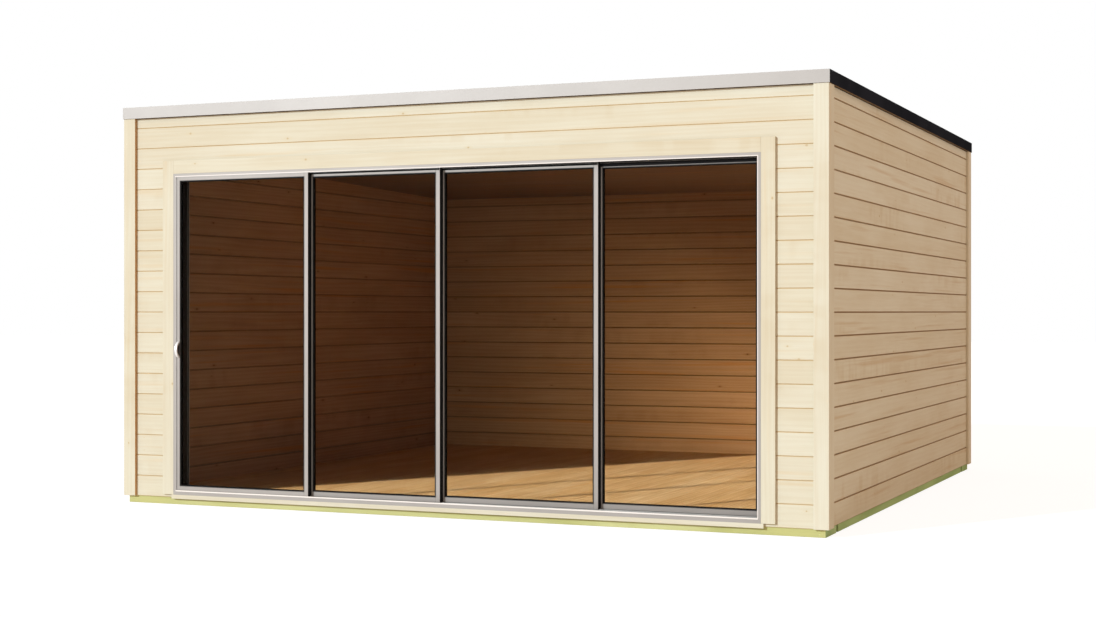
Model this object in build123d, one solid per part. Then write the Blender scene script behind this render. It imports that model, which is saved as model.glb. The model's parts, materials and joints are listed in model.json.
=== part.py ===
from build123d import *
import os

os.makedirs("parts", exist_ok=True)

# Walls of stacked boards, measured over the board faces
wall_span_x = 4658
wall_span_y = 4560
wall_thickness = 45
wall_height = 2530
course_height = 133
groove_width = 8
groove_depth = 4

# Base of treated planks laid flat
base_height = 46
base_inset = 8
cross_bearer_width = 245
side_bearer_width = 95
bearer_gap = 45
bearer_arris = 3
joist_width = 45
joist_count = 7
floor_thickness = 19

# Trim boards on the corners and round the door
cover_thickness = 18
trim_face_width = 88
trim_side_width = 120
casing_width = 83
head_casing_height = 85
cover_arris = 2

# Threshold board under the door frame
threshold_drop = 8
threshold_horn = 15

# Doorway, placed by the wall left beside it and over it
pier_width = 369
over_door_height = 441

# Sliding leaves, from the leading leaf on the left to the fixed leaf on the right
leaf_width_shares = (0.25, 0.233, 0.262, 0.255)
leaf_overlap = 15
leaf_thickness = 28
track_gap = 8
stile_width = 29
top_rail_height = 29
bottom_rail_height = 32
pane_thickness = 14
pane_bite = 8
seat_gap = 0.3

# Door frame of four tracks
frame_skin = 2
frame_plate = 8
frame_fit = 6
running_gap = 5
lip_lap = 3
sill_rise = 26
head_drop = 18
jamb_inset = 18
rail_width = 6
rail_round = 2
guide_width = 4

# Bow-shaped pull on the leading stile
pull_height = 110
pull_width = 18
pull_reach = 34
pull_bar = 12
pull_middle_above_leaf = 910
pull_arris = 2

# Roof laid to a fall between the walls, with kerbs and metal fascias outside their tops
ceiling_drop = 249
roof_fall = 85
ceiling_thickness = 12
beam_width = 45
beam_depth = 170
beam_count = 5
roof_deck_thickness = 18
membrane_thickness = 3
kerb_thickness = 21
kerb_height = 72
fascia_metal = 2

# Places worked out from the sizes above
face_x = wall_span_x / 2
face_y = wall_span_y / 2
room_x = face_x - wall_thickness
room_y = face_y - wall_thickness
wall_top = base_height + wall_height
floor_top = base_height + floor_thickness
trim_x = face_x + cover_thickness
trim_y = face_y + cover_thickness
base_x = face_x - base_inset
base_y = face_y - base_inset
bearer_back = base_y - cross_bearer_width

leaf_count = len(leaf_width_shares)
track_pitch = leaf_thickness + track_gap
frame_front = -trim_y
first_track = frame_front + frame_skin + running_gap
last_track = first_track + (leaf_count - 1) * track_pitch
frame_back = last_track + leaf_thickness + running_gap + frame_skin
frame_x = face_x - pier_width
frame_low = floor_top
frame_top = wall_top - over_door_height
leaves_x = frame_x - jamb_inset
leaves_width = 2 * leaves_x + (leaf_count - 1) * leaf_overlap
leaf_low = frame_low + sill_rise
leaf_top = frame_top - head_drop
opening_x = frame_x + frame_fit
opening_top = frame_top + frame_fit
casing_top = frame_top + head_casing_height

ceiling_low = wall_top - ceiling_drop
beam_low = ceiling_low + ceiling_thickness
deck_low = beam_low + beam_depth
deck_top = deck_low + roof_deck_thickness
kerb_low = wall_top - kerb_height
kerb_x = face_x + kerb_thickness
kerb_y = face_y + kerb_thickness
fascia_x = kerb_x + fascia_metal
fascia_y = kerb_y + fascia_metal
fascia_top = wall_top + fascia_metal
cap_depth = fascia_metal + kerb_thickness + wall_thickness + membrane_thickness


# Block between a low and a high limit on each axis
def block(x, y, z):
    size = [high - low for low, high in (x, y, z)]
    return Pos(x[0], y[0], z[0]) * Box(*size, align=(Align.MIN, Align.MIN, Align.MIN))


# Section drawn in Y and Z, carried along X
def along_x(points, x_low, x_high):
    plane = Plane(origin=(x_low, 0, 0), x_dir=(0, 1, 0), z_dir=(1, 0, 0))
    return extrude(plane * make_face(Polyline(*points, close=True)), x_high - x_low)


# Section drawn in X and Z, carried along Y
def along_y(points, y_low, y_high):
    plane = Plane(origin=(0, y_high, 0), x_dir=(1, 0, 0), z_dir=(0, -1, 0))
    return extrude(plane * make_face(Polyline(*points, close=True)), y_high - y_low)


# Section drawn in X and Y, carried up
def upright(points, z_low, z_high):
    plane = Plane(origin=(0, 0, z_low))
    return extrude(plane * make_face(Polyline(*points, close=True)), z_high - z_low)


# Writes one node
def save(name, *solids):
    shape = solids[0] if len(solids) == 1 else Compound(children=list(solids))
    export_step(shape, f"parts/{name}.step")


# Upright section of a board wall, with a V-groove on both faces at each joint of two courses
def wall_section(face, back, z_low, z_high):
    inward = groove_depth if back > face else -groove_depth
    front = [(face, z_low)]
    rear = [(back, z_low)]
    joint = base_height + course_height
    while joint < z_high - groove_width:
        if joint > z_low + groove_width:
            low = joint - groove_width / 2
            high = joint + groove_width / 2
            front += [(face, low), (face + inward, joint), (face, high)]
            rear += [(back, low), (back - inward, joint), (back, high)]
        joint += course_height
    front.append((face, z_high))
    rear.append((back, z_high))
    return front + rear[::-1]


# Bearers and joists that the walls and the floor stand on
def make_base():
    for name, side in (("front", -1), ("rear", 1)):
        y = sorted((side * bearer_back, side * base_y))
        bearer = block((-base_x, base_x), y, (0, base_height))
        bearer = chamfer(bearer.edges().filter_by(Axis.X), bearer_arris)
        save(f"base_{name}_bearer", bearer)
    side_y = bearer_back - bearer_gap
    for name, side in (("left", -1), ("right", 1)):
        x = sorted((side * (base_x - side_bearer_width), side * base_x))
        bearer = block(x, (-side_y, side_y), (0, base_height))
        bearer = chamfer(bearer.edges().filter_by(Axis.Y), bearer_arris)
        save(f"base_{name}_bearer", bearer)
    joist_end = base_x - side_bearer_width
    bay = 2 * bearer_back / (joist_count + 1)
    joists = []
    for n in range(1, joist_count + 1):
        y = -bearer_back + n * bay - joist_width / 2
        joists.append(block((-joist_end, joist_end), (y, y + joist_width), (0, base_height)))
    save("floor_joists", *joists)
    save("floor_deck", block((-room_x, room_x), (-room_y, room_y), (base_height, floor_top)))


# Walls: the front one is split beside and over the doorway
def make_walls():
    front = wall_section(-face_y, -room_y, base_height, wall_top)
    save("front_wall_left", along_x(front, -face_x, -opening_x))
    save("front_wall_right", along_x(front, opening_x, face_x))
    over = wall_section(-face_y, -room_y, opening_top, wall_top)
    save("front_wall_head", along_x(over, -opening_x, opening_x))
    save("rear_wall", along_x(wall_section(face_y, room_y, base_height, wall_top), -face_x, face_x))
    for name, side in (("left", -1), ("right", 1)):
        section = wall_section(side * face_x, side * room_x, base_height, wall_top)
        save(f"{name}_wall", along_y(section, -room_y, room_y))


# Corner trims of angle section, and the casing boards round the door
def make_covers():
    corners = (("front_left", -1, -1), ("front_right", 1, -1), ("rear_left", -1, 1), ("rear_right", 1, 1))
    inner_x = trim_x - trim_face_width
    inner_y = trim_y - trim_side_width
    angle = [
        (trim_x, trim_y), (trim_x, inner_y), (face_x, inner_y),
        (face_x, face_y), (inner_x, face_y), (inner_x, trim_y),
    ]
    for name, side_x, side_y in corners:
        trim = upright([(side_x * x, side_y * y) for x, y in angle], base_height, kerb_low)
        outer = trim.edges().filter_by(Axis.Z).sort_by(lambda edge: edge.center().X**2 + edge.center().Y**2)
        save(f"corner_trim_{name}", chamfer(outer[-1], cover_arris))
    y = (-trim_y, -face_y)
    outer_x = frame_x + casing_width
    for name, x in (("left", (-outer_x, -frame_x)), ("right", (frame_x, outer_x))):
        casing = block(x, y, (floor_top, casing_top))
        save(f"casing_{name}", chamfer(casing.faces().sort_by(Axis.Y)[0].edges(), cover_arris))
    casing = block((-frame_x, frame_x), y, (frame_top, casing_top))
    save("casing_head", chamfer(casing.faces().sort_by(Axis.Y)[0].edges(), cover_arris))
    lip_x = frame_x + threshold_horn
    lip = block((-lip_x, lip_x), y, (base_height - threshold_drop, floor_top))
    lip = chamfer(lip.faces().sort_by(Axis.Y)[0].edges().filter_by(Axis.X), cover_arris)
    tongue = block((-frame_x, frame_x), (-face_y, -room_y), (base_height, floor_top))
    save("threshold", lip + tongue)


# Middle of each track across the frame
def track_middles():
    return [first_track + n * track_pitch + leaf_thickness / 2 for n in range(leaf_count)]


# Trough of the frame: a plate with a lip along its front and its back edge
def trough(plate_out, plate_in, lip_in):
    return [
        (frame_front, plate_out), (frame_front, lip_in), (frame_front + frame_skin, lip_in),
        (frame_front + frame_skin, plate_in), (frame_back - frame_skin, plate_in),
        (frame_back - frame_skin, lip_in), (frame_back, lip_in), (frame_back, plate_out),
    ]


# Frame of the sliding door, with a running rail and a guide rib for each leaf
def make_door_frame():
    plate_top = frame_low + frame_plate
    sill = trough(frame_low, plate_top, leaf_low + lip_lap)
    inner_x = frame_x - frame_plate
    save("door_frame_sill", along_x(sill, -frame_x, frame_x))
    rails = []
    for middle in track_middles():
        y = (middle - rail_width / 2, middle + rail_width / 2)
        rail = block((-inner_x, inner_x), y, (plate_top, leaf_low - seat_gap))
        crown = rail.faces().sort_by(Axis.Z)[-1].edges().filter_by(Axis.X)
        rails.append(fillet(crown, rail_round))
    save("sill_rails", *rails)
    plate_low = frame_top - frame_plate
    head = along_x(trough(frame_top, plate_low, leaf_top - lip_lap), -frame_x, frame_x)
    for middle in track_middles():
        y = (middle - guide_width / 2, middle + guide_width / 2)
        head += block((-inner_x, inner_x), y, (leaf_top + running_gap, plate_low))
    save("door_frame_head", head)
    sill_top = leaf_low + lip_lap
    head_low = leaf_top - lip_lap
    lip_x = leaves_x - lip_lap
    for name, side in (("left", -1), ("right", 1)):
        section = [(side * x, y) for y, x in trough(frame_x, inner_x, lip_x)]
        save(f"door_frame_{name}_jamb", upright(section, sill_top, head_low))


# Section of a leaf bar, square, with a groove for the pane on its inner side
def bar_section(outer, inner, y_low):
    groove_low = y_low + (leaf_thickness - pane_thickness) / 2 - seat_gap
    groove_high = groove_low + pane_thickness + 2 * seat_gap
    depth = pane_bite + seat_gap
    bottom = inner + depth if outer > inner else inner - depth
    return [
        (outer, y_low), (inner, y_low), (inner, groove_low), (bottom, groove_low),
        (bottom, groove_high), (inner, groove_high),
        (inner, y_low + leaf_thickness), (outer, y_low + leaf_thickness),
    ]


# One leaf: two stiles, two rails between them, and the pane in their grooves
def make_leaf(number, x_low, x_high, y_low):
    left = x_low + stile_width
    right = x_high - stile_width
    bottom = leaf_low + bottom_rail_height
    top = leaf_top - top_rail_height
    bars = [
        upright(bar_section(x_low, left, y_low), leaf_low, leaf_top),
        upright(bar_section(x_high, right, y_low), leaf_low, leaf_top),
    ]
    for outer, inner in ((leaf_low, bottom), (leaf_top, top)):
        section = [(y, z) for z, y in bar_section(outer, inner, y_low)]
        bars.append(along_x(section, left + seat_gap, right - seat_gap))
    save(f"leaf_{number}_frame", *bars)
    pane_y = y_low + (leaf_thickness - pane_thickness) / 2
    pane = block(
        (left - pane_bite, right + pane_bite),
        (pane_y, pane_y + pane_thickness),
        (bottom - pane_bite, top + pane_bite),
    )
    save(f"leaf_{number}_glass", pane)


# Bow pull: the space between two arcs, seated on the stile clear of the jamb
def make_pull(x_low, y_face):
    middle = leaf_low + pull_middle_above_leaf
    half = pull_height / 2
    grip = half - pull_bar
    plane = Plane(origin=(x_low, y_face, middle), x_dir=(0, 1, 0), z_dir=(1, 0, 0))
    outer = ThreePointArc((0, -half), (-pull_reach, 0), (0, half))
    inner = ThreePointArc((0, grip), (-pull_reach + pull_bar, 0), (0, -grip))
    ends = [Line((0, half), (0, grip)), Line((0, -grip), (0, -half))]
    bow = extrude(plane * make_face([outer, ends[0], inner, ends[1]]), pull_width)
    rims = bow.edges().filter_by(GeomType.CIRCLE)
    save("door_pull", fillet(rims, pull_arris))


# Sliding leaves, each one track further back than the one before it
def make_leaves():
    x_low = -leaves_x
    for number, share in enumerate(leaf_width_shares, start=1):
        width = share * leaves_width
        y_low = first_track + (number - 1) * track_pitch
        make_leaf(number, x_low, x_low + width, y_low)
        if number == 1:
            make_pull(x_low + lip_lap + running_gap, y_low)
        x_low += width - leaf_overlap


# Fascia of folded metal over the kerb and the wall top, mitred at both ends and drawn as the front one
def fascia(half_length, face):
    back = face - cap_depth
    inner = half_length - cap_depth
    plan = [(-half_length, -face), (half_length, -face), (inner, -back), (-inner, -back)]
    below_cap = block((-half_length, half_length), (fascia_metal - face, -back), (kerb_low, wall_top))
    return upright(plan, kerb_low, fascia_top) - below_cap


# Section between two heights given at the front, laid to the fall of the roof
def fall_section(low, high):
    return [
        (-room_y, low), (room_y, low - roof_fall),
        (room_y, high - roof_fall), (-room_y, high),
    ]


# Waterproof tray: a sheet on the deck, turned up against the four walls
def membrane_tray():
    inner_x = room_x - membrane_thickness
    inner_y = room_y - membrane_thickness
    outside = [
        (-room_y, deck_top), (room_y, deck_top - roof_fall), (room_y, wall_top), (-room_y, wall_top),
    ]
    hollow = along_x(fall_section(deck_top + membrane_thickness, wall_top + roof_fall), -inner_x, inner_x)
    hollow &= block((-inner_x, inner_x), (-inner_y, inner_y), (0, wall_top))
    return along_x(outside, -room_x, room_x) - hollow


# Ceiling, beams, deck, membrane, kerbs and fascias
def make_roof():
    save("ceiling", along_x(fall_section(ceiling_low, beam_low), -room_x, room_x))
    bay = 2 * room_x / (beam_count + 1)
    beams = []
    for n in range(1, beam_count + 1):
        x = -room_x + n * bay - beam_width / 2
        beams.append(along_x(fall_section(beam_low, deck_low), x, x + beam_width))
    save("roof_beams", *beams)
    save("roof_deck", along_x(fall_section(deck_low, deck_top), -room_x, room_x))
    save("roof_membrane", membrane_tray())
    side_y = face_y - seat_gap
    kerbs = []
    for side in (-1, 1):
        y = sorted((side * face_y, side * kerb_y))
        kerbs.append(block((-kerb_x, kerb_x), y, (kerb_low, wall_top)))
        x = sorted((side * face_x, side * kerb_x))
        kerbs.append(block(x, (-side_y, side_y), (kerb_low, wall_top)))
    save("roof_kerbs", *kerbs)
    lengths = {"front": (fascia_x, fascia_y), "right": (fascia_y, fascia_x)}
    lengths |= {"rear": lengths["front"], "left": lengths["right"]}
    for quarter, (name, sizes) in enumerate(lengths.items()):
        save(f"fascia_{name}", Rot(0, 0, 90 * quarter) * fascia(*sizes))


make_base()
make_walls()
make_covers()
make_door_frame()
make_leaves()
make_roof()
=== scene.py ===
import json
import math
import random

import bmesh
import bpy
from mathutils import Matrix, Vector

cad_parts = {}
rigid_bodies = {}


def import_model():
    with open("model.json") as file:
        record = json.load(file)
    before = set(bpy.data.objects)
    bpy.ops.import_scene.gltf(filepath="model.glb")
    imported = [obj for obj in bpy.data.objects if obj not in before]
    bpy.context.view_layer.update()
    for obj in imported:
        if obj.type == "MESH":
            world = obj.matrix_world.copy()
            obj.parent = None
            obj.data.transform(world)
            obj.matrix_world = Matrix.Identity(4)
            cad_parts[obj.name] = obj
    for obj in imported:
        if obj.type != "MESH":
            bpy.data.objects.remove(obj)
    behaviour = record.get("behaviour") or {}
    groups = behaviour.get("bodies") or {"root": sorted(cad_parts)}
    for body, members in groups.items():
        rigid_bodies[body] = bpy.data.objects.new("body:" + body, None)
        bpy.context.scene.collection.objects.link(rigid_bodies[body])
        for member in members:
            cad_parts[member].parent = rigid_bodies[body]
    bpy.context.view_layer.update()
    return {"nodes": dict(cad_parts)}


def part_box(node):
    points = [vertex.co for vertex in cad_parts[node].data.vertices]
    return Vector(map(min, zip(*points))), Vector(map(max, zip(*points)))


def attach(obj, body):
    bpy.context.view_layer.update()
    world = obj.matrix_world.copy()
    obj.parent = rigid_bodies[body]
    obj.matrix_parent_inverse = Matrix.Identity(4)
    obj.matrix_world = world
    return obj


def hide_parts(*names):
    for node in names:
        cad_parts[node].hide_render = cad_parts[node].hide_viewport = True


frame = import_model()
nodes = frame["nodes"]
scene = bpy.context.scene
mm = 0.001
print("frame loaded with", len(nodes), "nodes")


# Short forms for shader nodes

def addNode(tree, kind, inputs=None, **settings):
    node = tree.nodes.new(kind)
    for key, value in settings.items():
        setattr(node, key, value)
    for key, value in (inputs or {}).items():
        if isinstance(value, bpy.types.NodeSocket):
            tree.links.new(value, node.inputs[key])
        else:
            node.inputs[key].default_value = value
    return node


def startMaterial(name):
    material = bpy.data.materials.new(name)
    material.use_nodes = True
    material.node_tree.nodes.clear()
    return material, material.node_tree


def endMaterial(tree, shader):
    addNode(tree, "ShaderNodeOutputMaterial", {"Surface": shader})


def calc(tree, operation, first, second=0.0):
    return addNode(tree, "ShaderNodeMath", {0: first, 1: second}, operation=operation).outputs[0]


def vectorCalc(tree, operation, first, second):
    return addNode(tree, "ShaderNodeVectorMath", {0: first, 1: second}, operation=operation)


def stretch(tree, vector, scale):
    return vectorCalc(tree, "MULTIPLY", vector, scale).outputs[0]


def ease(tree, value, low, high, start=0.0, end=1.0):
    inputs = {"Value": value, "From Min": low, "From Max": high, "To Min": start, "To Max": end}
    return addNode(tree, "ShaderNodeMapRange", inputs, interpolation_type="SMOOTHSTEP").outputs[0]


def mixColour(tree, factor, first, second, blend="MIX"):
    inputs = {0: factor, 6: first, 7: second}  # the colour sockets of the Mix node
    return addNode(tree, "ShaderNodeMix", inputs, data_type="RGBA", blend_type=blend).outputs[2]


def noise(tree, vector, scale, detail=2.0, roughness=0.5):
    inputs = {"Vector": vector, "Scale": scale, "Detail": detail, "Roughness": roughness}
    return addNode(tree, "ShaderNodeTexNoise", inputs).outputs[0]


def attribute(tree, name, output):
    return addNode(tree, "ShaderNodeAttribute", attribute_name=name).outputs[output]


def objectPlace(tree):
    return addNode(tree, "ShaderNodeTexCoord").outputs["Object"]


def lightPath(tree):
    return addNode(tree, "ShaderNodeLightPath").outputs


def bump(tree, height, strength, distance):
    inputs = {"Height": height, "Strength": strength, "Distance": distance}
    return addNode(tree, "ShaderNodeBump", inputs).outputs[0]


def opaque(colour):
    return (*colour, 1.0)


def finishMaterial(tree, inputs):
    endMaterial(tree, addNode(tree, "ShaderNodeBsdfPrincipled", inputs).outputs[0])


# Wood: rings, fibre, clouding and knots laid along each board's own grain

spruceLook = {
    "early": (0.64, 0.60, 0.49), "late": (0.54, 0.447, 0.307), "toneTint": (0.94, 0.90, 0.83),
    "warm": (0.60, 0.42, 0.22), "halo": (0.59, 0.50, 0.34), "knot": (0.48, 0.36, 0.21),
    "ringScale": 10.0, "ringShare": 0.13, "fibreShare": 0.15, "cloudShare": 0.34,
    "flameShare": 0.20, "warmShare": 0.30,
    "knotGap": 0.75, "knotRow": 0.115, "knotSize": 7 * mm, "knotRare": 0.62,
    "rough": 0.58, "relief": 0.12,
}
# copy of the spruce for the side and rear walls: streakier grain, and warmer with darker knots as painted
# shade
shadeWarmedSpruceLook = {
    **spruceLook, "warm": (0.50, 0.36, 0.21), "knot": (0.36, 0.23, 0.11), "flameShare": 0.36,
    "warmShare": 0.55,
}
# groove colours: a warm, lighter groove on the sunlit front and a dark one on walls in shade, painted light
# and painted shade in the grooves
paintedSunGrooveLook = {**spruceLook, "early": (0.65, 0.51, 0.32), "late": (0.55, 0.41, 0.23), "knotRare": 0.95}
paintedShadeGrooveLook = {**paintedSunGrooveLook, "early": (0.38, 0.245, 0.13), "late": (0.30, 0.185, 0.095)}
# orange-brown for the sides of cover boards that face away from the sun: painted shade
shadeEdgeWoodLook = {**paintedSunGrooveLook, "early": (0.56, 0.31, 0.12), "late": (0.44, 0.22, 0.08)}
# darker, redder copy of the spruce for indoor faces and their grooves: painted indoor shade and warm bounce
# light
indoorShadeLook = {
    **spruceLook, "early": (0.55, 0.37, 0.25), "late": (0.38, 0.22, 0.13), "warm": (0.54, 0.25, 0.085),
    "halo": (0.30, 0.15, 0.07), "knot": (0.14, 0.06, 0.025), "ringShare": 0.28, "flameShare": 0.22,
    "warmShare": 0.65,
}
indoorShadeGrooveLook = {**indoorShadeLook, "early": (0.25, 0.15, 0.08), "late": (0.18, 0.105, 0.055)}
# still darker, greyer copy for the ceiling boards: painted shade
ceilingShadeLook = {**indoorShadeLook, "early": (0.27, 0.20, 0.175), "late": (0.21, 0.14, 0.11)}
floorLook = {
    **spruceLook, "early": (0.885, 0.70, 0.42), "late": (0.65, 0.425, 0.195), "toneTint": (0.94, 0.88, 0.78),
    "warm": (0.78, 0.47, 0.18), "ringScale": 9.0, "ringShare": 0.46, "fibreShare": 0.24, "cloudShare": 0.40,
    "flameShare": 0.10, "warmShare": 0.55, "knotRare": 0.72, "rough": 0.46,
}
treatedLook = {
    **spruceLook, "early": (0.60, 0.565, 0.29), "late": (0.43, 0.41, 0.16), "toneTint": (0.88, 0.90, 0.76),
    "warm": (0.50, 0.43, 0.16), "halo": (0.38, 0.34, 0.12), "knot": (0.20, 0.15, 0.05),
    "ringScale": 12.0, "ringShare": 0.36, "cloudShare": 0.50, "flameShare": 0.30, "knotRare": 0.70,
    "rough": 0.74, "relief": 0.30,
}
# greener copy of the treated timber for the bearers in shade, also used on the joists: painted shade
shadedTreatedLook = {
    **treatedLook, "early": (0.46, 0.62, 0.34), "late": (0.30, 0.43, 0.19), "warm": (0.40, 0.46, 0.20),
}
roofTimberLook = {
    **spruceLook, "early": (0.56, 0.46, 0.30), "late": (0.41, 0.30, 0.16), "rough": 0.70, "relief": 0.20,
}
# very dark brown for the roof kerbs: painted shadow line under the fascias
kerbShadeLook = {**roofTimberLook, "early": (0.20, 0.125, 0.065), "late": (0.14, 0.085, 0.04)}

# patterns shared by all woods: how far each is stretched along and across the grain, and where it sets in
grainLook = {
    "rings": (0.05, 1.0, 0.4), "ringWander": 13.0, "ringDetail": 0.8, "fibre": (4.0, 260.0, 260.0),
    "cloud": (1.3, 5.0, 5.0), "patch": (0.6, 5.0, 5.0), "flame": (9.0, 3.0, 3.0),
    "streak": (0.6, 24.0, 24.0), "fineStart": (0.3, 0.7), "patchStart": (0.50, 0.68),
    "flameStart": (0.45, 0.65), "streakStart": (0.57, 0.74), "toneScale": 0.8,
    "knotScatter": 0.9, "knotShape": (1.25, 0.72, 1.10), "haloShape": (3.2, 0.30, 2.6),
    "leastKnot": 0.1 * mm, "knotStrength": 0.8, "haloStrength": 0.45,
    "ringRelief": 0.4, "reliefDepth": 1 * mm, "roughStart": (0.2, 0.8), "roughSpread": 0.06, "shine": 0.05,
}


def knotMasks(tree, grain, look):
    gap, row = look["knotGap"], look["knotRow"]
    cell = stretch(tree, grain, (1 / gap, 1 / row, 0.0))
    inputs = {"Vector": cell, "Scale": 1.0, "Randomness": grainLook["knotScatter"]}
    spots = addNode(tree, "ShaderNodeTexVoronoi", inputs, voronoi_dimensions="2D", feature="F1")
    away = vectorCalc(tree, "SUBTRACT", cell, spots.outputs["Position"]).outputs[0]
    chance = addNode(tree, "ShaderNodeSeparateColor", {"Color": spots.outputs["Color"]}).outputs[0]
    size = ease(tree, chance, look["knotRare"], 1.0, grainLook["leastKnot"], look["knotSize"])
    masks = []
    for longer, inner, outer in (grainLook["knotShape"], grainLook["haloShape"]):
        real = stretch(tree, away, (gap / longer, row, 0.0))
        span = vectorCalc(tree, "LENGTH", real, (0.0, 0.0, 0.0)).outputs["Value"]
        ratio = calc(tree, "DIVIDE", span, size)
        masks.append(ease(tree, ratio, inner, outer, 1.0, 0.0))
    return masks


def woodMaterial(name, look, ownGrain=True):
    material, tree = startMaterial(name)
    if ownGrain:
        grain = attribute(tree, "grain", "Vector")
        tone = attribute(tree, "tone", "Fac")
    else:
        grain = objectPlace(tree)
        tone = noise(tree, grain, grainLook["toneScale"])

    def pattern(kind, detail):
        return noise(tree, stretch(tree, grain, grainLook[kind]), 1.0, detail)

    waveInputs = {"Vector": stretch(tree, grain, grainLook["rings"]), "Scale": look["ringScale"],
                  "Distortion": grainLook["ringWander"], "Detail": 2.0,
                  "Detail Scale": grainLook["ringDetail"], "Detail Roughness": 0.5}
    rings = addNode(tree, "ShaderNodeTexWave", waveInputs, bands_direction="Y").outputs["Fac"]
    fibre = pattern("fibre", 3.0)
    fineFibre = ease(tree, fibre, *grainLook["fineStart"])
    cloud = ease(tree, pattern("cloud", 3.0), *grainLook["fineStart"])
    patch = ease(tree, pattern("patch", 1.0), *grainLook["patchStart"])
    flame = ease(tree, pattern("flame", 1.0), *grainLook["flameStart"])
    streak = ease(tree, pattern("streak", 3.0), *grainLook["streakStart"])
    figure = calc(tree, "MULTIPLY", rings, look["ringShare"])
    for part, share in ((fineFibre, "fibreShare"), (cloud, "cloudShare"),
                        (calc(tree, "MULTIPLY", flame, patch), "flameShare")):
        figure = calc(tree, "ADD", figure, calc(tree, "MULTIPLY", part, look[share]))
    knot, halo = knotMasks(tree, grain, look)
    colour = mixColour(tree, figure, opaque(look["early"]), opaque(look["late"]))
    colour = mixColour(tree, calc(tree, "MULTIPLY", streak, look["warmShare"]), colour, opaque(look["warm"]))
    colour = mixColour(tree, tone, colour, opaque(look["toneTint"]), "MULTIPLY")
    for mask, kind in ((halo, "halo"), (knot, "knot")):
        factor = calc(tree, "MULTIPLY", mask, grainLook[kind + "Strength"])
        colour = mixColour(tree, factor, colour, opaque(look[kind]))
    height = calc(tree, "ADD", calc(tree, "MULTIPLY", rings, grainLook["ringRelief"]), fibre)
    smooth, coarse = look["rough"] - grainLook["roughSpread"], look["rough"] + grainLook["roughSpread"]
    finishMaterial(tree, {
        "Base Color": colour, "Specular IOR Level": grainLook["shine"],
        "Roughness": ease(tree, fibre, *grainLook["roughStart"], smooth, coarse),
        "Normal": bump(tree, height, look["relief"], grainLook["reliefDepth"]),
    })
    return material


# Metals, rubber, glass and roofing sheet

satinLook = {
    "bright": (0.395, 0.365, 0.341), "dull": (0.370, 0.342, 0.319), "metallic": 0.55, "rough": 0.52,
    "shine": 0.15,
}
paleFasciaLook = {
    **satinLook, "bright": (0.41, 0.380, 0.356), "dull": (0.39, 0.361, 0.338), "metallic": 0.65,
    "rough": 0.50,
}
# near black for the side and rear fascias: painted shade of the same fascia metal as the front
shadedFasciaLook = {
    "bright": (0.019, 0.021, 0.029), "dull": (0.014, 0.016, 0.022), "metallic": 0.0, "rough": 0.50,
    "shine": 0.0,
}
railLook = {
    "bright": (0.45, 0.42, 0.39), "dull": (0.40, 0.375, 0.35), "metallic": 1.0, "rough": 0.45, "shine": 0.5,
}
# grey strip round the panes: a painted highlight on the inner edge of the stiles
highlightBeadLook = {
    "bright": (0.12, 0.12, 0.12), "dull": (0.11, 0.11, 0.11), "metallic": 0.0, "rough": 0.45, "shine": 0.3,
}
pullLook = {
    "bright": (0.80, 0.78, 0.77), "dull": (0.74, 0.72, 0.71), "metallic": 0.35, "rough": 0.36, "shine": 0.5,
}
channelShadeColour = (0.012, 0.010, 0.009)
highlightRimLook = {"metallic": 0.3, "blend": 1.5 * mm}
speckLook = {
    "cloudScale": 2.2, "cloudStart": (0.35, 0.65), "scale": 900.0, "start": (0.2, 0.8), "roughSpread": 0.05,
    "relief": 0.05, "depth": 0.3 * mm,
}


def metalMaterial(name, look, shadeLined=None, highlightRim=None):
    material, tree = startMaterial(name)
    place = objectPlace(tree)
    cloud = ease(tree, noise(tree, place, speckLook["cloudScale"], 3.0), *speckLook["cloudStart"])
    speck = noise(tree, place, speckLook["scale"])
    colour = mixColour(tree, cloud, opaque(look["bright"]), opaque(look["dull"]))
    metallic = look["metallic"]
    axes = addNode(tree, "ShaderNodeSeparateXYZ", {0: place}).outputs
    if highlightRim:  # painted highlight round the opening, so far in from the outside of the frame
        across = calc(tree, "SUBTRACT", highlightRim["halfWidth"], calc(tree, "ABSOLUTE", axes["X"]))
        inset = calc(tree, "MINIMUM", across, calc(tree, "SUBTRACT", highlightRim["top"], axes["Z"]))
        inset = calc(tree, "MINIMUM", inset, calc(tree, "SUBTRACT", axes["Z"], highlightRim["bottom"]))
        edge = ease(tree, inset, highlightRim["start"], highlightRim["start"] + highlightRimLook["blend"])
        colour = mixColour(tree, edge, colour, opaque(highlightRim["colour"]))
        metallic = ease(tree, edge, 0.0, 1.0, metallic, highlightRimLook["metallic"])
    if shadeLined:  # black between two depths inside the channel of a frame: black track covers, and painted shade of the deep channel
        after = calc(tree, "GREATER_THAN", axes["Y"], shadeLined[0])
        before = calc(tree, "LESS_THAN", axes["Y"], shadeLined[1])
        inside = calc(tree, "MULTIPLY", after, before)
        colour = mixColour(tree, inside, colour, opaque(channelShadeColour))
        metallic = calc(tree, "MULTIPLY", calc(tree, "SUBTRACT", 1.0, inside), metallic)
    smooth, coarse = look["rough"] - speckLook["roughSpread"], look["rough"] + speckLook["roughSpread"]
    finishMaterial(tree, {
        "Base Color": colour, "Metallic": metallic, "Specular IOR Level": look["shine"],
        "Roughness": ease(tree, speck, *speckLook["start"], smooth, coarse),
        "Normal": bump(tree, speck, speckLook["relief"], speckLook["depth"]),
    })
    return material


rubberLook = {
    "dark": (0.008, 0.008, 0.009), "light": (0.016, 0.016, 0.017), "cloudScale": 6.0, "poreScale": 1400.0,
    "poreStart": (0.2, 0.8), "rough": (0.55, 0.75), "shine": 0.06, "relief": 0.15, "depth": 0.3 * mm,
}


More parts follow.
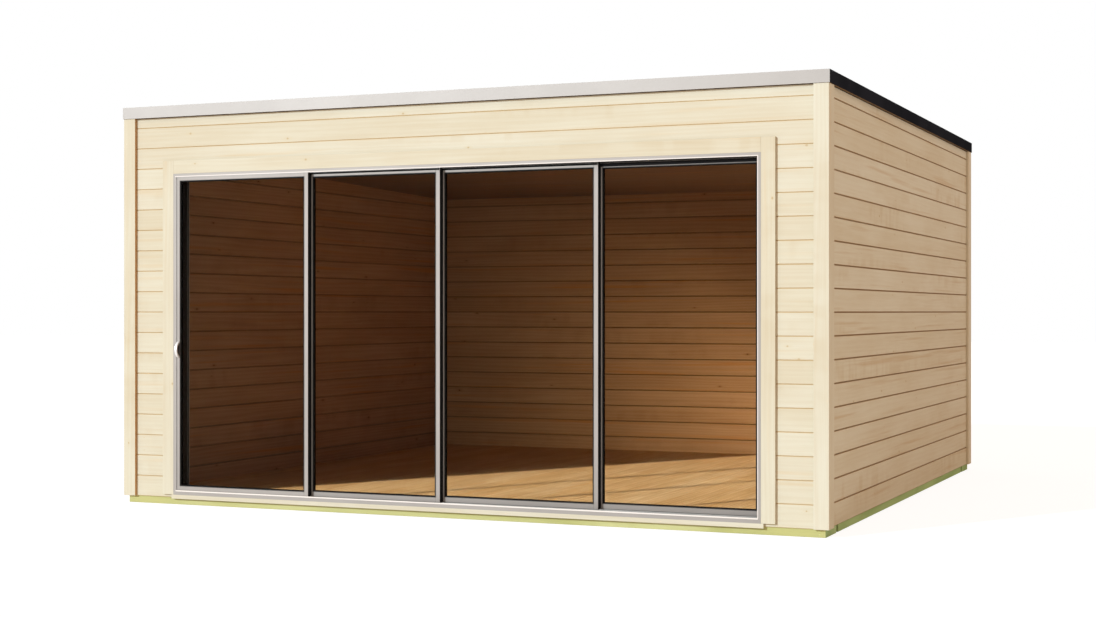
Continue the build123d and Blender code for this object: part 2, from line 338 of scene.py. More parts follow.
def rubberMaterial(name):
    material, tree = startMaterial(name)
    place = objectPlace(tree)
    cloud = noise(tree, place, rubberLook["cloudScale"])
    pores = noise(tree, place, rubberLook["poreScale"])
    finishMaterial(tree, {
        "Base Color": mixColour(tree, cloud, opaque(rubberLook["dark"]), opaque(rubberLook["light"])),
        "Roughness": ease(tree, pores, *rubberLook["poreStart"], *rubberLook["rough"]),
        "Specular IOR Level": rubberLook["shine"],
        "Normal": bump(tree, pores, rubberLook["relief"], rubberLook["depth"]),
    })
    return material


glassLook = {
    "tint": (0.94, 0.87, 0.79), "lampTint": (1.0, 0.98, 0.95), "ior": 1.1, "rough": 0.0,
    "waveScale": 3.0, "relief": 0.006, "depth": 2 * mm,
}


def glassMaterial(name):
    material, tree = startMaterial(name)
    waves = noise(tree, objectPlace(tree), glassLook["waveScale"])
    inputs = {"Base Color": opaque(glassLook["tint"]), "IOR": glassLook["ior"], "Transmission Weight": 1.0,
              "Roughness": glassLook["rough"],
              "Normal": bump(tree, waves, glassLook["relief"], glassLook["depth"])}
    pane = addNode(tree, "ShaderNodeBsdfPrincipled", inputs).outputs[0]
    clear = addNode(tree, "ShaderNodeBsdfTransparent", {"Color": opaque(glassLook["lampTint"])}).outputs[0]
    mixInputs = {0: lightPath(tree)["Is Shadow Ray"], 1: pane, 2: clear}  # lamps shine through
    endMaterial(tree, addNode(tree, "ShaderNodeMixShader", mixInputs).outputs[0])
    return material


membraneLook = {
    "clean": (0.030, 0.032, 0.036), "dusty": (0.044, 0.046, 0.050), "dustScale": 1.6,
    "dustStart": (0.35, 0.72), "gritScale": 420.0, "creaseStretch": (2.0, 0.7, 1.0),
    "creaseScale": 2.4, "creaseShare": 6.0, "rough": (0.55, 0.80), "relief": 0.25, "depth": 1.2 * mm,
}


def membraneMaterial(name):
    material, tree = startMaterial(name)
    place = objectPlace(tree)
    dust = ease(tree, noise(tree, place, membraneLook["dustScale"], 5.0, 0.6), *membraneLook["dustStart"])
    grit = noise(tree, place, membraneLook["gritScale"], 3.0)
    drawn = stretch(tree, place, membraneLook["creaseStretch"])
    creases = noise(tree, drawn, membraneLook["creaseScale"], 1.0)
    height = calc(tree, "ADD", calc(tree, "MULTIPLY", creases, membraneLook["creaseShare"]), grit)
    finishMaterial(tree, {
        "Base Color": mixColour(tree, dust, opaque(membraneLook["clean"]), opaque(membraneLook["dusty"])),
        "Roughness": ease(tree, dust, 0.0, 1.0, *membraneLook["rough"]),
        "Normal": bump(tree, height, membraneLook["relief"], membraneLook["depth"]),
    })
    return material


spruce = woodMaterial("planedSpruce", spruceLook)
shadeWarmedSpruce = woodMaterial("shadeWarmedSpruce", shadeWarmedSpruceLook)
paintedSunGroove = woodMaterial("paintedSunGrooveSpruce", paintedSunGrooveLook)
paintedShadeGroove = woodMaterial("paintedShadeGrooveSpruce", paintedShadeGrooveLook)
shadeEdgeSpruce = woodMaterial("shadeEdgeSpruce", shadeEdgeWoodLook)
indoorShadeSpruce = woodMaterial("indoorShadeSpruce", indoorShadeLook)
indoorShadeGroove = woodMaterial("indoorShadeGroove", indoorShadeGrooveLook)
ceilingShadeSpruce = woodMaterial("ceilingShadeSpruce", ceilingShadeLook)
floorWood = woodMaterial("floorPine", floorLook)
treatedWood = woodMaterial("treatedTimber", treatedLook)
shadedTreatedWood = woodMaterial("shadedTreatedTimber", shadedTreatedLook)
roofTimber = woodMaterial("roofTimber", roofTimberLook, ownGrain=False)
kerbShadeTimber = woodMaterial("kerbShadeTimber", kerbShadeLook, ownGrain=False)
satinMetal = metalMaterial("satinAluminium", satinLook)
paleFascia = metalMaterial("paleFasciaMetal", paleFasciaLook)
shadedFascia = metalMaterial("shadedFasciaMetal", shadedFasciaLook)
railMetal = metalMaterial("railAluminium", railLook)
highlightBeadMetal = metalMaterial("highlightBeadMetal", highlightBeadLook)
pullMetal = metalMaterial("pullMetal", pullLook)
blackRubber = rubberMaterial("blackRubber")
tintedGlass = glassMaterial("tintedGlass")
roofSheet = membraneMaterial("roofSheet")
print("materials made:", len(bpy.data.materials))


# Boards: boxes with eased edges, each carrying its own grain and tone

grainShift = 40.0  # metres by which one board's grain may differ in place from another's
sameWay = 0.9  # cosine above which two directions count as one
seedStep = 1000  # more than the boards of any piece


def addBox(bm, low, high, finish=0, layer=None, number=0):
    size = [h - l for l, h in zip(low, high)]
    middle = [(h + l) / 2 for l, h in zip(low, high)]
    place = Matrix.Translation(middle) @ Matrix.Diagonal((*size, 1.0))
    made = bmesh.ops.create_cube(bm, size=1.0, matrix=place)["verts"]
    for vert in made:
        if layer is not None:
            vert[layer] = number
        for face in vert.link_faces:
            face.material_index = finish


def easeEdges(bm, edges, width, steps):
    bmesh.ops.bevel(bm, geom=edges, offset=width, offset_type="OFFSET", segments=steps, profile=0.5,
                    affect="EDGES", material=-1)


def writeGrain(bm, layer, axes, seed, toneLow, toneHigh):
    order = ["xyz".index(axis) for axis in axes]
    grain = bm.verts.layers.float_vector.new("grain")
    tone = bm.verts.layers.float.new("tone")
    for vert in bm.verts:
        draw = random.Random(seed * seedStep + vert[layer])
        offset = Vector([draw.uniform(-grainShift, grainShift) for _ in order])
        vert[grain] = Vector([vert.co[k] for k in order]) + offset
        vert[tone] = draw.uniform(toneLow, toneHigh)


def placePiece(name, bm, materials, body, replaced=()):
    mesh = bpy.data.meshes.new(name)
    bm.to_mesh(mesh)
    bm.free()
    for material in materials:
        mesh.materials.append(material)
    piece = bpy.data.objects.new(name, mesh)
    scene.collection.objects.link(piece)
    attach(piece, body)
    if replaced:
        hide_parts(*replaced)
    return piece


def paintFaces(bm, grooved, paintedShadeWay, innerWay):
    # 0 outdoor face, 1 outdoor groove or painted-shade edge, 2 indoor face, 3 indoor groove; grooves and
    # edges carry painted light and shade
    bm.normal_update()
    for face in bm.faces:
        inward = face.normal.dot(innerWay) if innerWay else 0.0
        if max(abs(part) for part in face.normal) < sameWay:
            if grooved:
                face.material_index = 3 if inward > 0.5 else 1
        elif inward > sameWay:
            face.material_index = 2
        elif paintedShadeWay and face.normal.dot(paintedShadeWay) > sameWay:
            face.material_index = 1


def boardPiece(name, boards, axes, look, materials, replaced, seed, fillers=(), shear=None,
               paintedShadeWay=None, innerWay=None, firstNumber=0):
    bm = bmesh.new()
    layer = bm.verts.layers.int.new("board")
    for number, (low, high) in enumerate(boards, start=firstNumber):
        addBox(bm, low, high, 0, layer, number)
    along = "xyz".index(axes[0])
    edges = list(bm.edges)
    if look["longOnly"]:
        edges = [e for e in edges if abs((e.verts[0].co - e.verts[1].co).normalized()[along]) > sameWay]
    easeEdges(bm, edges, look["arris"], look["steps"])
    paintFaces(bm, look["grooved"], paintedShadeWay, innerWay)
    for number, (low, high) in enumerate(fillers):
        addBox(bm, low, high, 1, layer, number)
    writeGrain(bm, layer, axes, seed, *look["tone"])
    if shear:
        bmesh.ops.transform(bm, matrix=shear, verts=bm.verts)
    return placePiece(name, bm, materials, "pod", replaced)


def sideBySide(low, high, axis, count, gap):
    width = (high[axis] - low[axis]) / count
    boards = []
    for number in range(count):
        first, last = list(low), list(high)
        start = low[axis] + number * width
        first[axis] = start + gap / 2
        last[axis] = start + width - gap / 2
        boards.append((first, last))
    return boards


# Walls of stacked boards, with a V-groove and a tongue at each joint

wallLook = {"course": 133 * mm, "gap": 2.2 * mm, "tongue": 14 * mm, "leastCourse": 8 * mm,
            "arris": 3.8 * mm, "steps": 1, "longOnly": True, "grooved": True, "tone": (0.0, 0.75)}
frontLook = {**wallLook, "gap": 0.9 * mm, "arris": 3.2 * mm, "tone": (0.05, 0.5)}
indoorShadeWoods = [indoorShadeSpruce, indoorShadeGroove]
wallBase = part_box("left_wall")[0].z
frontSeed = 3  # the same for all of the front, so that boards over the door carry on past its sides
walls = {"front_wall_left": ("frontLeftBoards", "xzy"), "front_wall_right": ("frontRightBoards", "xzy"),
         "front_wall_head": ("overDoorBoards", "xzy"), "rear_wall": ("rearBoards", "xzy"),
         "left_wall": ("leftSideBoards", "yzx"), "right_wall": ("rightSideBoards", "yzx")}


def courseJoints(low, high):
    joints = []
    joint = wallBase + wallLook["course"]
    while joint < high - wallLook["leastCourse"]:
        if joint > low + wallLook["leastCourse"]:
            joints.append(joint)
        joint += wallLook["course"]
    return joints


for seed, (node, (name, axes)) in enumerate(walls.items(), start=1):
    low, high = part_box(node)
    through = "xyz".index(axes[2])
    joints = courseJoints(low.z, high.z)
    onFront = node.startswith("front")
    look = frontLook if onFront else wallLook
    # front walls get the painted sunlit grooves; other walls get the painted shaded grooves and the
    # shade-warmed wood
    outdoorWoods = [spruce, paintedSunGroove] if onFront else [shadeWarmedSpruce, paintedShadeGroove]
    half = look["gap"] / 2
    boards, tongues = [], []
    for bottom, top in zip([low.z - half] + joints, joints + [high.z + half]):
        boards.append(((low.x, low.y, bottom + half), (high.x, high.y, top - half)))
    middle = (low[through] + high[through]) / 2
    for joint in joints:
        first, last = low.copy(), high.copy()
        first.z, last.z = joint - half, joint + half
        first[through] = middle - wallLook["tongue"] / 2
        last[through] = middle + wallLook["tongue"] / 2
        tongues.append((first, last))
    innerWay = Vector((0, 0, 0))
    innerWay[through] = -1 if middle > 0 else 1
    boardPiece(name, boards, axes, look, outdoorWoods + indoorShadeWoods, [node],
               frontSeed if onFront else seed, fillers=tongues, innerWay=innerWay,
               firstNumber=int((low.z - wallBase) / wallLook["course"]))
print("walls boarded")


# Corner trims of two boards each, casings round the door, threshold

coverLook = {"arris": 1.6 * mm, "steps": 2, "longOnly": False, "grooved": False, "tone": (0.0, 0.5)}
coverWoods = [spruce, shadeEdgeSpruce]
shadedWay = Vector((1, 0, 0))  # side of a cover board that never gets the sun, painted in a shade colour
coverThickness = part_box("corner_trim_front_right")[1].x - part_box("right_wall")[1].x
cornerNames = {"corner_trim_front_left": "trimFrontLeft", "corner_trim_front_right": "trimFrontRight",
               "corner_trim_rear_left": "trimRearLeft", "corner_trim_rear_right": "trimRearRight"}

for seed, (node, name) in enumerate(cornerNames.items(), start=20):
    low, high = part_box(node)
    faceLow, faceHigh = low.copy(), high.copy()  # board on the front or rear, over the edge of the other
    sideLow, sideHigh = low.copy(), high.copy()
    if low.y < 0:
        faceHigh.y = sideLow.y = low.y + coverThickness
    else:
        faceLow.y = sideHigh.y = high.y - coverThickness
    if low.x < 0:
        sideHigh.x = low.x + coverThickness
    else:
        sideLow.x = high.x - coverThickness
    boardPiece(name, [(faceLow, faceHigh), (sideLow, sideHigh)], "zxy", coverLook, coverWoods,
               [node], seed, paintedShadeWay=shadedWay if low.x < 0 else None)

casings = {"casing_left": ("casingLeft", "zxy"), "casing_right": ("casingRight", "zxy"),
           "casing_head": ("casingHead", "xzy")}
for seed, (node, (name, axes)) in enumerate(casings.items(), start=31):
    boardPiece(name, [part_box(node)], axes, coverLook, coverWoods, [node], seed)

low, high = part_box("threshold")
sillLow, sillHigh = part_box("door_frame_sill")
frontLow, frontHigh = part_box("front_wall_left")
lip = (low, (high.x, frontLow.y, high.z))
tongue = ((sillLow.x, frontLow.y, wallBase), (sillHigh.x, frontHigh.y, high.z))
boardPiece("thresholdBoard", [lip, tongue], "xzy", coverLook, [spruce], ["threshold"],
           seed=34)
print("trims and casings set")


# Base of treated timber

baseLook = {"arris": 3 * mm, "steps": 2, "longOnly": True, "grooved": False, "tone": (0.0, 0.8)}
bearerAxes = {"base_front_bearer": ("frontBearer", "xyz"), "base_rear_bearer": ("rearBearer", "xyz"),
              "base_left_bearer": ("leftBearer", "yxz"), "base_right_bearer": ("rightBearer", "yxz")}
for seed, (node, (name, axes)) in enumerate(bearerAxes.items(), start=40):
    # the front bearer's shaded end and the other bearers take the painted-shade copy
    timbers = [treatedWood, shadedTreatedWood] if node == "base_front_bearer" else [shadedTreatedWood, shadedTreatedWood]
    boardPiece(name, [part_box(node)], axes, baseLook, timbers, [node], seed,
               paintedShadeWay=shadedWay)

joistLook = {**baseLook, "count": 7, "width": 45 * mm}
low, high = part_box("floor_joists")
pitch = (high.y - low.y - joistLook["width"]) / (joistLook["count"] - 1)
joists = []
for number in range(joistLook["count"]):
    start = low.y + number * pitch
    joists.append(((low.x, start, low.z), (high.x, start + joistLook["width"], high.z)))
boardPiece("floorJoists", joists, "xyz", joistLook, [shadedTreatedWood], ["floor_joists"],
           seed=45)
print("base laid")


# Floor boards from front to back, ceiling boards across, laid to the fall of the roof

floorBoardLook = {"count": 34, "gap": 0.8 * mm, "arris": 1.2 * mm, "steps": 1, "longOnly": True,
                  "grooved": False, "tone": (0.0, 1.0)}
boards = sideBySide(*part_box("floor_deck"), 0, floorBoardLook["count"], floorBoardLook["gap"])
boardPiece("floorBoards", boards, "yxz", floorBoardLook, [floorWood], ["floor_deck"],
           seed=50)

ceilingLook = {"count": 38, "thickness": 12 * mm, "gap": 1.0 * mm, "arris": 2.0 * mm, "steps": 1,
               "longOnly": True, "grooved": True, "tone": (0.0, 0.9)}
low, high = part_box("ceiling")
fall = (high.z - low.z - ceilingLook["thickness"]) / (high.y - low.y)
level = (low.x, low.y, high.z - ceilingLook["thickness"])
boards = sideBySide(level, high, 1, ceilingLook["count"], ceilingLook["gap"])
shear = Matrix.Identity(4)  # each board is lower by the fall times its way back from the front
shear[2][1], shear[2][3] = -fall, fall * low.y
boardPiece("ceilingBoards", boards, "xyz", ceilingLook, [ceilingShadeSpruce, indoorShadeGroove],
           ["ceiling"], seed=51, shear=shear)
print("floor and ceiling boarded")


# Door leaves: aluminium bars grooved for the pane, seals and painted-highlight strips round it, brush strips
# and painted shadow where leaves pass

leafLook = {
    "stile": 29 * mm, "topRail": 29 * mm, "bottomRail": 32 * mm, "endGap": 0.3 * mm,
    "arris": 1.0 * mm, "steps": 2, "groove": 8.3 * mm, "paneSlot": 14.6 * mm,
    "sealWidth": 6.0 * mm, "jambSeal": 16.0 * mm, "sealDepth": 4.0 * mm,
    "beadWidth": 3.5 * mm, "beadDepth": 0.8 * mm, "pullShadowThickness": 0.4 * mm,
    "brushWidth": 19 * mm, "brushThickness": 2.5 * mm, "brushInset": 3 * mm,
    "topBrushAndShade": {2: 13 * mm, 3: 14 * mm, 4: 23 * mm}, "facing": 0.3, "longEdge": 0.9,
}
leafBodies = {1: "leaf_1", 2: "leaf_2", 3: "leaf_3", 4: "pod"}
leafFinishes = [satinMetal, blackRubber, highlightBeadMetal]
metal, rubber, highlightBeading = range(3)


def addBar(bm, outer, inner, yLow, yHigh, start, end, standing):
    # section drawn across the bar, then carried along it
    slotLow = (yLow + yHigh - leafLook["paneSlot"]) / 2
    slotHigh = slotLow + leafLook["paneSlot"]
    bottom = inner + math.copysign(leafLook["groove"], outer - inner)
    outline = [(outer, yLow), (inner, yLow), (inner, slotLow), (bottom, slotLow),
               (bottom, slotHigh), (inner, slotHigh), (inner, yHigh), (outer, yHigh)]
    verts = [bm.verts.new((a, y, start) if standing else (start, y, a)) for a, y in outline]
    face = bm.faces.new(verts)
    made = bmesh.ops.extrude_face_region(bm, geom=[face], use_keep_orig=True)["geom"]
    moved = [g for g in made if isinstance(g, bmesh.types.BMVert)]
    reach = Vector((0, 0, end - start)) if standing else Vector((end - start, 0, 0))
    bmesh.ops.translate(bm, vec=reach, verts=moved)
    corners = {(round(a, 6), round(y, 6)) for a, y in (outline[0], outline[1], outline[6], outline[7])}
    lane = 0 if standing else 2
    edges = []
    for vert in verts:
        if (round(vert.co[lane], 6), round(vert.co.y, 6)) in corners:
            edges += [e for e in vert.link_edges if e.calc_length() > leafLook["longEdge"] * reach.length]
    easeEdges(bm, edges, leafLook["arris"], leafLook["steps"])


def addRing(bm, outer, inner, yLow, yHigh, finish):
    # strips left, right, below and above, between two rectangles given as left, bottom, right, top
    strips = (((outer[0], outer[1]), (inner[0], outer[3])), ((inner[2], outer[1]), (outer[2], outer[3])),
              ((inner[0], outer[1]), (inner[2], inner[1])), ((inner[0], inner[3]), (inner[2], outer[3])))
    for (xLow, zLow), (xHigh, zHigh) in strips:
        addBox(bm, (xLow, yLow, zLow), (xHigh, yHigh, zHigh), finish)


for number, body in leafBodies.items():
    node = f"leaf_{number}_frame"
    low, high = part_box(node)
    left, right = low.x + leafLook["stile"], high.x - leafLook["stile"]
    bottom, top = low.z + leafLook["bottomRail"], high.z - leafLook["topRail"]
    bm = bmesh.new()
    addBar(bm, low.x, left, low.y, high.y, low.z, high.z, True)
    addBar(bm, high.x, right, low.y, high.y, low.z, high.z, True)
    ends = (left + leafLook["endGap"], right - leafLook["endGap"])
    addBar(bm, low.z, bottom, low.y, high.y, *ends, False)
    addBar(bm, high.z, top, low.y, high.y, *ends, False)
    bmesh.ops.recalc_face_normals(bm, faces=bm.faces)
    # side faces of the bars take the black rubber: painted shade between the leaves
    for face in bm.faces:
        face.material_index = metal if abs(face.normal.y) > leafLook["facing"] else rubber
    seal, depth = leafLook["sealWidth"], leafLook["sealDepth"]
    closing = leafLook["jambSeal"] if number == 4 else seal  # wider where the last leaf meets the jamb
    pane = (left, bottom, right, top)
    clear = (left + seal, bottom + seal, right - closing, top - seal)
    paneLow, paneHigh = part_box(f"leaf_{number}_glass")
    addRing(bm, pane, clear, paneLow.y - depth, paneLow.y, rubber)
    addRing(bm, pane, clear, paneHigh.y, paneHigh.y + depth, rubber)
    # grey strip round the front of the pane: painted highlight of the stile's inner edge
    bead = leafLook["beadWidth"]
    beaded = (left - bead, bottom - bead, right + bead, top + bead)
    addRing(bm, beaded, pane, low.y - leafLook["beadDepth"], low.y, highlightBeading)
    if number == 1:  # dark plate under the pull: a painted shadow of the pull
        pullLow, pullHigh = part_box("door_pull")
        proud = low.y - leafLook["pullShadowThickness"]
        addBox(bm, (pullLow.x, proud, pullLow.z), (left - bead, low.y, pullHigh.z), rubber)
    else:
        # black brush strips on the stile and along the top rail: brush seals, widened as painted shadow of
        # the leaf in front and of the head lip, most on leaf 4
        inset, proud = leafLook["brushInset"], low.y - leafLook["brushThickness"]
        brushEnd, brushTop = low.x + leafLook["brushWidth"], high.z - inset
        addBox(bm, (low.x, proud, low.z + inset), (brushEnd, low.y, brushTop), rubber)
        addBox(bm, (brushEnd, proud, high.z - leafLook["topBrushAndShade"][number]),
               (high.x - inset, low.y, brushTop), rubber)
    placePiece(f"leaf{number}Frame", bm, leafFinishes, body, [node])
print("door leaves framed")


# Finishes of the nodes that stay as they are

frameLook = {
    "skin": 7.5 * mm, "lipHeight": 24 * mm,
    # lighter bands on the lips round the opening and on the sill: painted highlights
    "highlightRim": {"start": 14 * mm, "colour": (0.74, 0.703, 0.675)},
    "leftHighlightRim": {"start": 19.4 * mm, "colour": (0.82, 0.78, 0.75)},
    "sillHighlightRim": {"start": 16 * mm, "colour": (0.90, 0.86, 0.82)},
}
frameLow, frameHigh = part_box("door_frame_head")
opening = {"halfWidth": frameHigh.x, "top": frameHigh.z, "bottom": sillHigh.z - frameLook["lipHeight"]}
channelShadeDepths = (frameLow.y + frameLook["skin"], frameHigh.y - frameLook["skin"])
channelShadeMetal = metalMaterial("channelShadeAluminium", satinLook, channelShadeDepths, {**opening, **frameLook["highlightRim"]})
leftMetal = metalMaterial("leftChannelShadeAluminium", satinLook, channelShadeDepths, {**opening, **frameLook["leftHighlightRim"]})
sillMetal = metalMaterial("sillAluminium", satinLook, highlightRim={**opening, **frameLook["sillHighlightRim"]})
frameFinishes = {
    "door_frame_head": channelShadeMetal, "door_frame_left_jamb": leftMetal, "door_frame_right_jamb": channelShadeMetal,
    "door_frame_sill": sillMetal, "sill_rails": railMetal,
}
nodeFinishes = {
    **frameFinishes, "door_pull": pullMetal,
    "leaf_1_glass": tintedGlass, "leaf_2_glass": tintedGlass, "leaf_3_glass": tintedGlass,
    "leaf_4_glass": tintedGlass,
    "roof_beams": roofTimber, "roof_deck": roofTimber, "roof_kerbs": kerbShadeTimber, "roof_membrane": roofSheet,
    "fascia_front": paleFascia, "fascia_right": shadedFascia, "fascia_rear": shadedFascia,
    "fascia_left": shadedFascia,
}
for node, finish in nodeFinishes.items():
    nodes[node].data.materials.clear()
    nodes[node].data.materials.append(finish)


# Dark strip between the boards and the fascias, from trim to trim: a painted shadow under the fascia

shadowStripLook = {"height": 3 * mm, "depth": 4 * mm, "arris": 0.8 * mm}
trimBoxes = {node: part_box(node) for node in cornerNames}
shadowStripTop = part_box("fascia_front")[0].z
shadowStripEnds = {"x": (trimBoxes["corner_trim_front_left"][1].x, trimBoxes["corner_trim_front_right"][0].x),
            "y": (trimBoxes["corner_trim_front_right"][1].y, trimBoxes["corner_trim_rear_right"][0].y)}
wallFaces = {"x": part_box("right_wall")[1].x, "y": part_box("rear_wall")[1].y}
bm = bmesh.new()
for side in (-1, 1):
    for along, across in (("x", "y"), ("y", "x")):
        low, high = Vector((0, 0, shadowStripTop - shadowStripLook["height"])), Vector((0, 0, shadowStripTop))
        near, far = sorted((side * wallFaces[across], side * (wallFaces[across] + shadowStripLook["depth"])))
        setattr(low, along, shadowStripEnds[along][0])
        setattr(high, along, shadowStripEnds[along][1])
        setattr(low, across, near)
        setattr(high, across, far)
        addBox(bm, low, high)
easeEdges(bm, list(bm.edges), shadowStripLook["arris"], 1)
placePiece("fasciaShadowStrip", bm, [blackRubber], "pod")


# Laps of the roof sheet, running down the fall

lapLook = {"count": 3, "width": 50 * mm, "thickness": 2 * mm, "inset": 4 * mm, "sheet": 3 * mm,
           "arris": 0.6 * mm}
low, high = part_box("roof_membrane")
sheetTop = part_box("roof_deck")[1].z + lapLook["sheet"]
bm = bmesh.new()
for number in range(1, lapLook["count"] + 1):
    middle = low.x + (high.x - low.x) * number / (lapLook["count"] + 1)
    addBox(bm, (middle - lapLook["width"] / 2, low.y + lapLook["inset"], sheetTop),
           (middle + lapLook["width"] / 2, high.y - lapLook["inset"], sheetTop + lapLook["thickness"]))
easeEdges(bm, list(bm.edges), lapLook["arris"], 1)
bmesh.ops.transform(bm, matrix=shear, verts=bm.verts)
placePiece("roofSheetLaps", bm, [roofSheet], "pod")
print("roof finished")


# Stage: pale floor, white backdrop, even sky, suns from the front left, a lamp for light off the floor

stageLook = {
    "size": 120.0, "floorDrop": 0.5 * mm, "floorColour": (0.92, 0.90, 0.85),
    "shadeColour": (0.26, 0.26, 0.26), "glow": 0.86, "skyColour": (0.765, 0.57, 0.425),
    "indoorShare": (0.058, 0.030, 0.0265), "sunWay": (0.497, 0.868), "sunAngle": 0.35, "sunDistance": 10.0,
    "sunStrength": 3.39, "sunColour": (0.71, 0.88, 1.0), "sunHeight": 21.5,
    "roomStrength": 2.65, "roomColour": (1.0, 0.64, 0.35),
    "metalStrength": 1.27, "metalColour": (0.833, 0.934, 1.0), "metalHeight": 13.0,
    "bouncePower": 9.4, "bounceColour": (1.0, 0.84, 0.50), "bounceSize": 0.9, "bounceSpread": 75.0,
    "bouncePlace": (1.9, 0.4, 0.35), "bounceAim": (-0.2, 2.235, 0.2), "paneBounces": 24,
}
whiteColour = opaque((1.0, 1.0, 1.0))


def seenDirectly(tree):
    # white to the eye, through the panes and mirrored out of doors; what a matt surface gathers stays even
    rays = lightPath(tree)
    seen = calc(tree, "MAXIMUM", rays["Is Camera Ray"], rays["Is Transmission Ray"])
    seen = calc(tree, "MULTIPLY", seen, calc(tree, "LESS_THAN", rays["Glossy Depth"], 0.5))
    outdoors = calc(tree, "LESS_THAN", rays["Transmission Depth"], 0.5)
    seen = calc(tree, "MAXIMUM", seen, calc(tree, "MULTIPLY", rays["Is Glossy Ray"], outdoors))
    return calc(tree, "MULTIPLY", seen, calc(tree, "LESS_THAN", rays["Diffuse Depth"], 0.5))


def indoorColour(tree, colour):
    indoors = calc(tree, "GREATER_THAN", lightPath(tree)["Transmission Depth"], 0.5)
    fainter = [part * share for part, share in zip(colour, stageLook["indoorShare"])]
    return mixColour(tree, indoors, opaque(colour), opaque(fainter))


floorMaterial, tree = startMaterial("paleFloor")
paleColour = indoorColour(tree, stageLook["floorColour"])
pale = addNode(tree, "ShaderNodeBsdfDiffuse", {"Color": paleColour}).outputs[0]
shade = addNode(tree, "ShaderNodeBsdfDiffuse", {"Color": opaque(stageLook["shadeColour"])}).outputs[0]
glow = addNode(tree, "ShaderNodeEmission", {"Color": whiteColour, "Strength": stageLook["glow"]}).outputs[0]
shown = addNode(tree, "ShaderNodeAddShader", {0: shade, 1: glow}).outputs[0]
floorInputs = {0: seenDirectly(tree), 1: pale, 2: shown}
endMaterial(tree, addNode(tree, "ShaderNodeMixShader", floorInputs).outputs[0])

bm = bmesh.new()
bmesh.ops.create_grid(bm, x_segments=1, y_segments=1, size=stageLook["size"] / 2)
bmesh.ops.translate(bm, vec=(0, 0, -stageLook["floorDrop"]), verts=bm.verts)
floorMesh = bpy.data.meshes.new("studioFloor")
bm.to_mesh(floorMesh)
bm.free()
floorMesh.materials.append(floorMaterial)
studioFloor = bpy.data.objects.new("studioFloor", floorMesh)
scene.collection.objects.link(studioFloor)

world = bpy.data.worlds.new("studioSky")
scene.world = world
world.use_nodes = True
tree = world.node_tree
tree.nodes.clear()
evenColour = indoorColour(tree, stageLook["skyColour"])
even = addNode(tree, "ShaderNodeBackground", {"Color": evenColour}).outputs[0]
white = addNode(tree, "ShaderNodeBackground", {"Color": whiteColour}).outputs[0]
sky = addNode(tree, "ShaderNodeMixShader", {0: seenDirectly(tree), 1: even, 2: white}).outputs[0]
addNode(tree, "ShaderNodeOutputWorld", {"Surface": sky})


def addSun(name, strength, colour, height):
    data = bpy.data.lights.new(name, "SUN")
    data.energy, data.color, data.angle = strength, colour, math.radians(stageLook["sunAngle"])
    rise = math.radians(height)
    level = Vector((*stageLook["sunWay"], 0.0)).normalized()
    way = level * math.cos(rise) - Vector((0, 0, math.sin(rise)))
    sun = bpy.data.objects.new(name, data)
    sun.rotation_euler = way.to_track_quat("-Z", "Y").to_euler()
    sun.location = -stageLook["sunDistance"] * way
    scene.collection.objects.link(sun)
    return sun


def lightGroup(name, pieces, state):
    group = bpy.data.collections.new(name)
    for piece in pieces:
        group.objects.link(piece)
    for member in group.collection_objects:
        member.light_linking.link_state = state
    return group


def lightOnly(lamp, pieces, state="INCLUDE"):
    lamp.light_linking.receiver_collection = lightGroup(lamp.name + "Receivers", pieces, state)


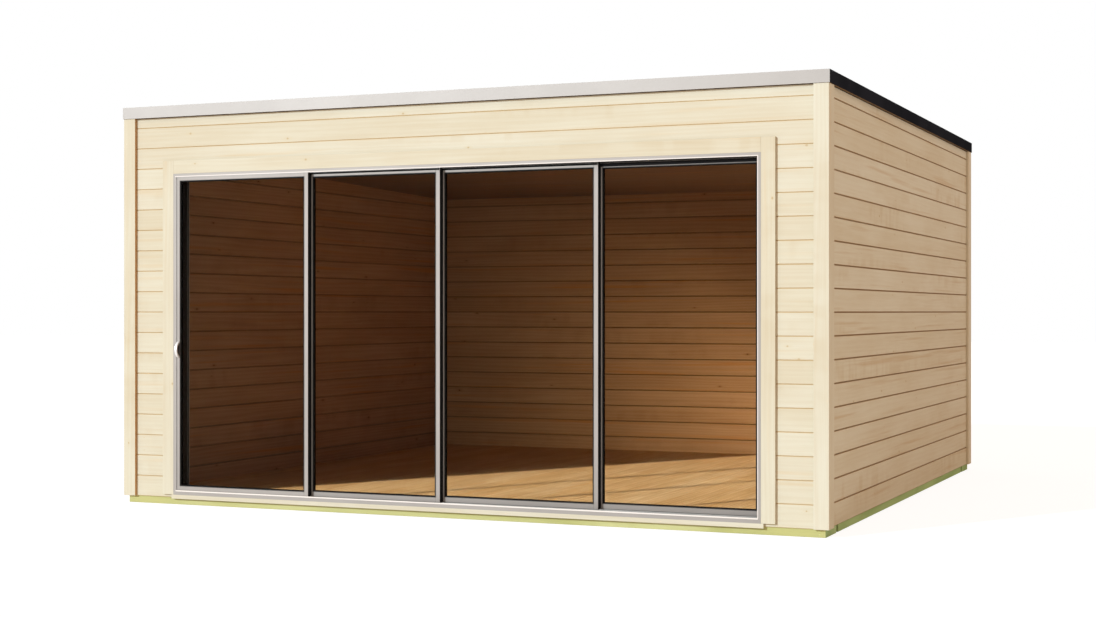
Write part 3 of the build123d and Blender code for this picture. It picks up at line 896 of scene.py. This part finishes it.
# the sun itself, more of it on the floor indoors, and a lower one for the sheen of the metal
keySun = addSun("keySun", stageLook["sunStrength"], stageLook["sunColour"], stageLook["sunHeight"])
roomSun = addSun("roomSun", stageLook["roomStrength"], stageLook["roomColour"], stageLook["sunHeight"])
metalSun = addSun("metalSun", stageLook["metalStrength"], stageLook["metalColour"], stageLook["metalHeight"])
metalParts = [nodes[node] for node in (*frameFinishes, "fascia_front")]
metalParts += [bpy.data.objects[f"leaf{number}Frame"] for number in leafBodies]
lightOnly(keySun, metalParts, "EXCLUDE")
lightOnly(roomSun, [bpy.data.objects["floorBoards"]])
lightOnly(metalSun, metalParts)
shadeless = [nodes["door_frame_left_jamb"], nodes["door_frame_head"]]  # no shadow of these on the leaves
metalSun.light_linking.blocker_collection = lightGroup("metalSunPasses", shadeless, "EXCLUDE")

# light thrown back onto the rear wall from the patch of sun on the floor
bounceData = bpy.data.lights.new("floorBounce", "AREA")
bounceData.energy, bounceData.color = stageLook["bouncePower"], stageLook["bounceColour"]
bounceData.size, bounceData.spread = stageLook["bounceSize"], math.radians(stageLook["bounceSpread"])
floorBounce = bpy.data.objects.new("floorBounce", bounceData)
floorBounce.location = stageLook["bouncePlace"]
aim = Vector(stageLook["bounceAim"]) - Vector(stageLook["bouncePlace"])
floorBounce.rotation_euler = aim.to_track_quat("-Z", "Y").to_euler()
floorBounce.visible_camera = floorBounce.visible_glossy = floorBounce.visible_transmission = False
scene.collection.objects.link(floorBounce)
lightOnly(floorBounce, [bpy.data.objects["rearBoards"]])
print("stage lit")


# Camera, level, with the photograph's view

cameraLook = {"place": (4.678, -11.665, 1.247), "turn": 23.16, "lens": 57.09, "sensor": 36.0,
              "shiftUp": 0.0027, "clipEnd": 200.0}
cameraData = bpy.data.cameras.new("photoCamera")
cameraData.sensor_fit = "HORIZONTAL"
cameraData.sensor_width = cameraLook["sensor"]
cameraData.lens = cameraLook["lens"]
cameraData.shift_y = cameraLook["shiftUp"]
cameraData.clip_end = cameraLook["clipEnd"]
camera = bpy.data.objects.new("photoCamera", cameraData)
camera.location = cameraLook["place"]
camera.rotation_euler = (math.radians(90), 0.0, math.radians(cameraLook["turn"]))
scene.collection.objects.link(camera)
scene.camera = camera
scene.view_settings.view_transform = "Standard"
scene.cycles.transparent_max_bounces = stageLook["paneBounces"]
